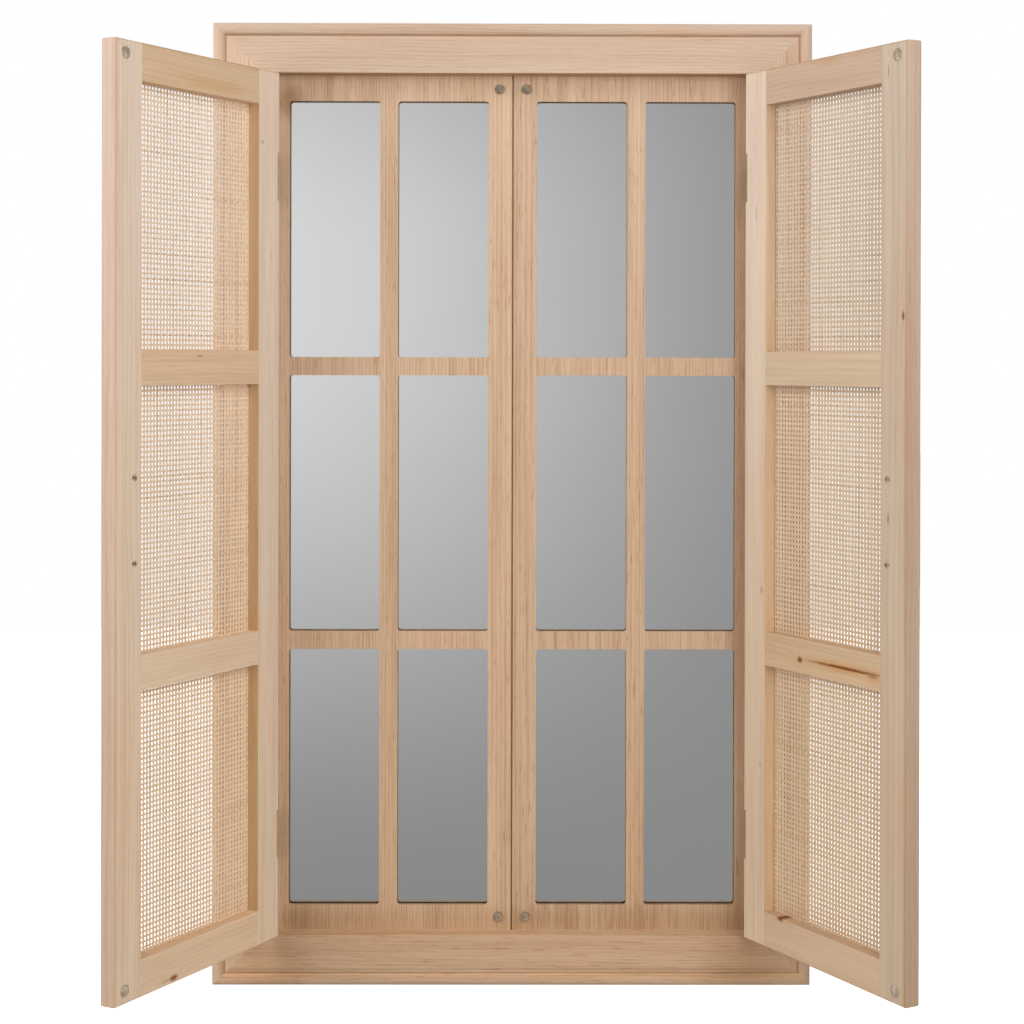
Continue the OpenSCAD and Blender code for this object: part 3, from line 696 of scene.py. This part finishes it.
def weave(name, node, seed, materials, broad):
    """A plain weave of flat strands in place of a flat net, in one shutter opening."""
    low, high = extent(shut_points(node))
    width = high.x - low.x - 2 * CANE_RIM
    height = high.z - low.z - 2 * CANE_RIM
    left, middle, foot = low.x + CANE_RIM, (low.y + high.y) / 2, low.z + CANE_RIM
    cols = round(width / CANE_PITCH)
    rows = round(height / CANE_PITCH)
    draw = random.Random(seed)
    build = Builder()
    for kind, count, other, span, run in ((0, cols, rows, width, height),
                                          (1, rows, cols, height, width)):
        for i in range(count + 1):
            ring = strand_ring(kind, STRAND_W[kind] * broad * draw.uniform(*WIDTH_RANGE))
            base = i * span / count + draw.uniform(*SLIP_RANGE) * MM
            swing = draw.uniform(*BEND_RANGE) * MM
            phase = draw.uniform(*PHASE_RANGE)
            last = None
            for along, lift in course(kind, i, run, other):
                side = base + swing * math.sin(phase + along * BEND_RATE)
                points = []
                for off, out in ring:
                    x, z = (side + off, along) if kind == 0 else (along, side + off)
                    points.append((left + x, middle - lift - out, foot + z))
                loop = build.loop(points)
                if last is None:
                    build.face(loop, kind)
                else:
                    build.band(loop, last, kind)
                last = loop
            build.face(last[::-1], kind)
    build.piece(name, BODY_OF[node], materials, [node], smooth=60)


# ---- The frame, lattice, mirror and back ----

# Stains and painted shading are given as place along the grain and across it, half length and half
# width in mm, how dark, and a tint where it isn't the wood's own. Those on the side members are
# painted shadow behind the open shutters, and the two short ones on the foot painted shadow under
# them. The long ones on the foot are painted shade just above its quirk and along the lower edge of
# its bead, with painted light on the quirk line between them.
# The top's reveal tint is painted shade on the soffit under it.
dress("frame_top", wood("oak_top", "frame", "x", 11, OAK, tone=(0.93, 0.96, 1.02),
                        outer=("Z", 1), fleck=0.5, side_tint=PLAIN, reveal_tint=(0.75, 0.63, 0.43)))
# The foot's reveal tint is painted light on its sill, and its warmer tone is partly painted warm
# shade.
dress("frame_bottom", wood("oak_bottom", "frame", "x", 12, OAK, tone=(0.93, 0.90, 0.89),
                           fibre=0.70, fleck=0.85, fleck_tint=(0.74, 0.65, 0.59),
                           outer=("Z", -1), side_tint=PLAIN, reveal_tint=(1.20, 1.27, 1.26),
                           stains_and_painted_shading=((-248, -480, 55, 60, 0.6), (240, -480, 60, 60, 0.6),
                                   (0, -483.4, 9000, 2.4, 1.0, (0.84, 0.82, 0.80)),
                                   (0, -485.8, 9000, 1.6, 1.0, (1.32, 1.36, 1.40)),
                                   (0, -500, 9000, 4.5, 1.0, (0.80, 0.80, 0.85)))))
dress("frame_left", wood("oak_left", "frame", "z", 13, OAK, tone=(0.98, 1.0, 1.04),
                         stains_and_painted_shading=((-200, -290, 300, 32, 0.6),)))
dress("frame_right", wood("oak_right", "frame", "z", 14, OAK, tone=(0.95, 0.94, 0.96),
                          stain_tint=(0.62, 0.54, 0.46),
                          stains_and_painted_shading=((0, 288, 560, 33, 0.8), (-250, 290, 250, 32, 0.35))))
dress("corner_keys", wood("key_wood", "frame", "x", 15, PALE))
# The lattice's stains are painted shade in its lower corners, along its foot and down its right
# stile; the one in its upper left corner is a browner patch, partly painted shade of the left
# shutter.
dress("lattice_left", wood("veneer_left", "frame", "z", 16, VENEER, tone=(1.09, 1.10, 1.14),
                           stains_and_painted_shading=((-438, -222, 26, 22, 0.6), (-438, -125, 24, 400, 0.2),
                                   (420, -234, 26, 22, 1.0))))
dress("lattice_right", wood("veneer_right", "frame", "z", 17, VENEER, tone=(1.02, 1.03, 1.07),
                            stains_and_painted_shading=((0, 252, 1400, 30, 0.22), (-440, 245, 90, 55, 0.4),
                                    (-438, 125, 24, 400, 0.38))))
dress("mirror_glass", glass_material())
dress("back_board", board_material())

SILVER_T = 0.1 * MM
SILVER_BACK = 0.08 * MM
SILVER_INSET = 0.5 * MM


def silvering():
    """The reflecting coat just inside the back of the glass."""
    low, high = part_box("mirror_glass")
    back = high.y - SILVER_BACK
    left, right = low.x + SILVER_INSET, high.x - SILVER_INSET
    foot, top = low.z + SILVER_INSET, high.z - SILVER_INSET
    corners = ((left, foot), (right, foot), (right, top), (left, top))
    build = Builder()
    loops = [build.loop([(x, y, z) for x, z in corners]) for y in (back - SILVER_T, back)]
    build.band(loops[1], loops[0])
    build.face(loops[0])
    build.face(loops[1][::-1])
    build.piece("silvering", "frame", [silver_material()])


silvering()

for node in frame["nodes"]:
    if node.endswith("leaf") or node in ("hanger_left", "hanger_right"):
        dress(node, STEEL)
    elif node.endswith("pin"):
        dress(node, NICKEL)
    elif node.endswith("screws"):
        rebuild("cross_" + node, node, screw, SCREW_STEEL, "hinge_steel")
rebuild("worn_magnets", "catch_magnets", disc, NICKEL, "catch_metal", out=Vector((0, -1, 0)))

# ---- The shutters ----

# Each part with the way its outer edge faces, 1 or -1, or 0 where it has none
STILES = (("hinge_stile", -1), ("meeting_stile", 1))
RAILS = (("top_rail", 1), ("upper_rail", 0), ("lower_rail", 0), ("bottom_rail", -1))
TONES = {"left": {"hinge_stile": (1.12, 1.15, 1.21), "meeting_stile": (1.11, 1.13, 1.18),
                  "top_rail": (0.99, 0.90, 0.76), "upper_rail": (1.06, 0.99, 0.90),
                  "lower_rail": (1.13, 1.16, 1.16), "bottom_rail": (1.12, 1.08, 1.05)},
         "right": {"hinge_stile": (1.01, 1.03, 1.07), "meeting_stile": (0.81, 0.82, 0.83),
                   "top_rail": (0.79, 0.72, 0.68), "upper_rail": (0.88, 0.87, 0.82),
                   "lower_rail": (0.89, 0.84, 0.75), "bottom_rail": (0.90, 0.85, 0.84)}}
SIDES = {"left": (0.72, 0.66, 0.665), "right": (0.93, 0.86, 0.84)}
REVEALS = {"left": (0.74, 0.62, 0.44), "right": (0.97, 0.89, 0.76)}
RAIL_REVEAL = (0.97, 0.93, 0.88)
# Tints of the cane: all over, painted light toward the hinges and painted shade toward the top
CANE_TINTS = {"left": ((1.11, 1.05, 1.00), (1.09, 1.09, 1.11), PLAIN),
              "right": ((0.89, 0.83, 0.77), (1.06, 1.05, 1.06), (0.92, 0.93, 0.95))}
STRAND_BREADTH = {"left": {"top": 0.98, "middle": 0.98, "bottom": 1.06},
                  "right": {"top": 1.20, "middle": 1.15, "bottom": 1.22}}
# Knots and resin marks, given as the stains and painted shading are
KNOTS = {("left", "bottom_rail"): ((-86, -441, 8.5, 4.0, 1.0), (-76, -441, 14, 1.6, 0.4)),
         ("left", "hinge_stile"): ((372, -228, 3.5, 2.4, 0.5), (258, -243, 9, 1.4, 0.3)),
         ("left", "upper_rail"): ((-125, 154, 8, 1.3, 0.6),),
         ("right", "lower_rail"): ((162, -146, 6.5, 4.6, 1.0), (89, -145, 78, 2.3, 1.0),
                                   (48, -146, 12, 4, 0.5)),
         ("right", "bottom_rail"): ((194, -411, 7, 3.5, 1.0), (186, -408, 12, 1.6, 0.4)),
         ("right", "meeting_stile"): ((420, 27, 9, 1.2, 0.6), (192, 5, 6, 2.6, 1.0),
                                      (3, 26, 8, 1.6, 0.8)),
         ("right", "hinge_stile"): ((300, 238, 16, 1.3, 0.4), (-84, 227, 6, 2.4, 0.5),
                                    (-262, 229, 5, 2.2, 0.4))}
RESIN = {("right", "lower_rail"): ((95, -145, 84, 8, 0.8), (46, -148, 16, 10, 0.6)),
         ("right", "top_rail"): ((150, 452, 60, 8, 0.7), (118, 446, 30, 12, 0.5)),
         ("left", "top_rail"): ((-150, 420, 70, 9, 0.5),),
         ("right", "bottom_rail"): ((194, -411, 12, 7, 0.4),)}
RESIN_TINT = (0.94, 0.74, 0.52)


def dress_shutter(side, seed, outward):
    """Wood, screws' discs and woven cane of one shutter, with a seed of its own for each part."""
    body = side + "_shutter"
    for k, (part, outer) in enumerate(STILES):
        node = f"{side}_{part}"
        dress(node, wood(node + "_wood", body, "z", seed + k, PALE,
                         outer=("X", outer * outward), tone=TONES[side][part],
                         side_tint=SIDES[side], reveal_tint=REVEALS[side],
                         knots=KNOTS.get((side, part), ())))
    for k, (part, outer) in enumerate(RAILS):
        node = f"{side}_{part}"
        dress(node, wood(node + "_wood", body, "x", seed + 5 + k, PALE,
                         outer=("Z", outer), tone=TONES[side][part], reveal_tint=RAIL_REVEAL,
                         knots=KNOTS.get((side, part), ()),
                         stains_and_painted_shading=RESIN.get((side, part), ()), stain_tint=RESIN_TINT))
    dress(f"{side}_handle", wood(f"{side}_handle_wood", body, "z", seed + 10, OAK))
    rebuild(f"{side}_worn_discs", f"{side}_strikes", disc, NICKEL, "catch_metal",
            out=Vector((0, 1, 0)))
    strands = [cane_material(f"{side}_cane_{way}", body, way == "upright", *CANE_TINTS[side])
               for way in ("upright", "across")]
    for k, part in enumerate(("top", "middle", "bottom")):
        weave(f"{side}_woven_cane_{part}", f"{side}_cane_{part}", seed + 12 + k, strands,
              STRAND_BREADTH[side][part])


dress_shutter("left", 40, 1)
dress_shutter("right", 60, -1)

# ---- Studio: world, lamps, floor and camera ----

WHITE = (1.0, 1.0, 1.0)
WARM_WHITE = (1.0, 0.99, 0.97)
# Greys of the room that the mirror looks into, dim low down and bright high on the left
ROOM_DIM = 0.265
ROOM_BRIGHT = 0.47
ROOM_TOP = 0.55


def ray_kinds(sh):
    """Whether a ray comes from metal or glass, and whether from the camera, each as 1 or 0."""
    path = sh.node("LightPath").outputs
    shiny = sh.calc("MAXIMUM", path["Is Glossy Ray"], path["Is Transmission Ray"])
    return shiny, path["Is Camera Ray"]


def studio_world():
    """White to the camera, the room to metal and glass, and a soft light for all else."""
    world = bpy.data.worlds.new("studio")
    bpy.context.scene.world = world
    world.use_nodes = True
    sh = Shader(world.node_tree)
    x, y, z = sh.parts(sh.node("TexCoord").outputs["Generated"])
    forward = sh.calc("MAXIMUM", sh.times(y, -1.0), 0.05)
    side = sh.calc("DIVIDE", x, forward)
    rise = sh.calc("DIVIDE", z, forward)
    bright = sh.smooth(side, -0.16, 0.20, ROOM_BRIGHT, 0.0)
    lit = sh.times(sh.smooth(rise, -0.285, 0.035), sh.smooth(rise, 0.05, 0.20, 1.0, ROOM_TOP))
    room = sh.calc("MULTIPLY_ADD", lit, bright, ROOM_DIM)
    grey = sh.node("CombineColor", {"Red": room, "Green": room, "Blue": room}).outputs[0]
    seen = sh.mix(sh.smooth(y, -0.35, 0.05), grey, WHITE)
    ambient = sh.mix(sh.smooth(z, -0.8, 0.8), (0.18, 0.16, 0.14), (0.20, 0.20, 0.20))
    shiny, camera_ray = ray_kinds(sh)
    colour = sh.mix(camera_ray, sh.mix(shiny, ambient, seen), WHITE)
    background = sh.node("Background", {"Color": colour, "Strength": 1.0})
    sh.tree.links.new(background.outputs[0], sh.node("OutputWorld").inputs["Surface"])


LAMP_AIM = Vector((0, 0, 0.1))
LAMP_AWAY = 2.3
LAMP_SIZE = 1.1


def soft_lamp(name, turn, rise, watts, colour):
    """A square lamp aimed at the object, turn and rise degrees off its front."""
    data = bpy.data.lights.new(name, "AREA")
    data.shape = "SQUARE"
    data.size = LAMP_SIZE
    data.energy = watts
    data.color = colour
    lamp = bpy.data.objects.new(name, data)
    turn, rise = math.radians(turn), math.radians(rise)
    off = Vector((math.sin(turn) * math.cos(rise), -math.cos(turn) * math.cos(rise),
                  math.sin(rise)))
    lamp.location = LAMP_AIM + off * LAMP_AWAY
    lamp.rotation_euler = (-off).to_track_quat("-Z", "Y").to_euler()
    lamp.visible_glossy = False
    lamp.visible_transmission = False
    bpy.context.scene.collection.objects.link(lamp)


FLOOR_Z = -1.35
FLOOR_FRONT = -2.6
FLOOR_REACH = 9.0
# How strongly the floor glows near the object to the camera, and to metal and glass
NEAR_GLOW = 0.72
SHINY_GLOW = 0.27
# How far behind its front edge the floor has its full colour in the mirror
FLOOR_FADE = 2.2


def pale_floor():
    """A floor that keeps the object's shadow and looks white to the camera."""
    material, sh = new_material("pale_floor")
    place = sh.node("TexCoord").outputs["Object"]
    speckle = sh.noise(place, scale=40, detail=3.0)
    colour = sh.mix(speckle, (0.80, 0.80, 0.80), (0.86, 0.86, 0.86))
    shiny, camera_ray = ray_kinds(sh)
    x, y, _ = sh.parts(place)
    near = sh.smooth(sh.hypot(x, y), 0.8, 2.4, NEAR_GLOW, 1.0)
    glow = sh.calc("MAXIMUM", sh.times(camera_ray, near), sh.times(shiny, SHINY_GLOW))
    # in the mirror, the floor fades into the grey of the room
    fade = sh.smooth(y, FLOOR_FRONT, FLOOR_FRONT + FLOOR_FADE, 1.0, 0.0)
    colour = sh.mix(sh.times(shiny, fade), colour, (0.0, 0.0, 0.0))
    shader = sh.node("BsdfPrincipled", {"Base Color": colour, "Roughness": 0.6,
                                        "Emission Color": WHITE, "Emission Strength": glow})
    sh.tree.links.new(shader.outputs[0], sh.node("OutputMaterial").inputs["Surface"])
    mesh = bpy.data.meshes.new("floor")
    edges = ((-FLOOR_REACH, FLOOR_FRONT), (FLOOR_REACH, FLOOR_FRONT),
             (FLOOR_REACH, FLOOR_REACH), (-FLOOR_REACH, FLOOR_REACH))
    mesh.from_pydata([(*corner, FLOOR_Z) for corner in edges], [], [(0, 1, 2, 3)])
    mesh.materials.append(material)
    floor = bpy.data.objects.new("floor", mesh)
    bpy.context.scene.collection.objects.link(floor)


# The camera that was fitted to the photo: eye in metres, tilt in radians off a level view
# along +Y, and focal length and principal point in pixels
FOCAL_PX = 1989.4
IMAGE_PX = 1024
SENSOR = 36.0
EYE = (19.5 * MM, -2102.6 * MM, 151.7 * MM)
TILT = (-0.0035, -0.0021, -0.0049)
CENTRE_PX = (540.8, 365.8)


def photo_camera():
    data = bpy.data.cameras.new("camera")
    data.sensor_width = SENSOR
    data.lens = FOCAL_PX / IMAGE_PX * SENSOR
    data.shift_x = -(CENTRE_PX[0] / IMAGE_PX - 0.5)
    data.shift_y = CENTRE_PX[1] / IMAGE_PX - 0.5
    camera = bpy.data.objects.new("camera", data)
    camera.location = EYE
    camera.rotation_euler = Euler((math.pi / 2 + TILT[0], TILT[1], TILT[2]))
    bpy.context.scene.collection.objects.link(camera)
    bpy.context.scene.camera = camera


studio_world()
soft_lamp("high_left", -72, 36, 18.5, WHITE)
soft_lamp("high_right", 45, 40, 12.5, WHITE)
soft_lamp("side_left", -45, 10, 18.5, WARM_WHITE)
soft_lamp("front_right", 22, 10, 18, WARM_WHITE)
soft_lamp("back_fill", 160, 30, 24, WHITE)
pale_floor()
photo_camera()
bpy.context.scene.view_settings.view_transform = "Standard"
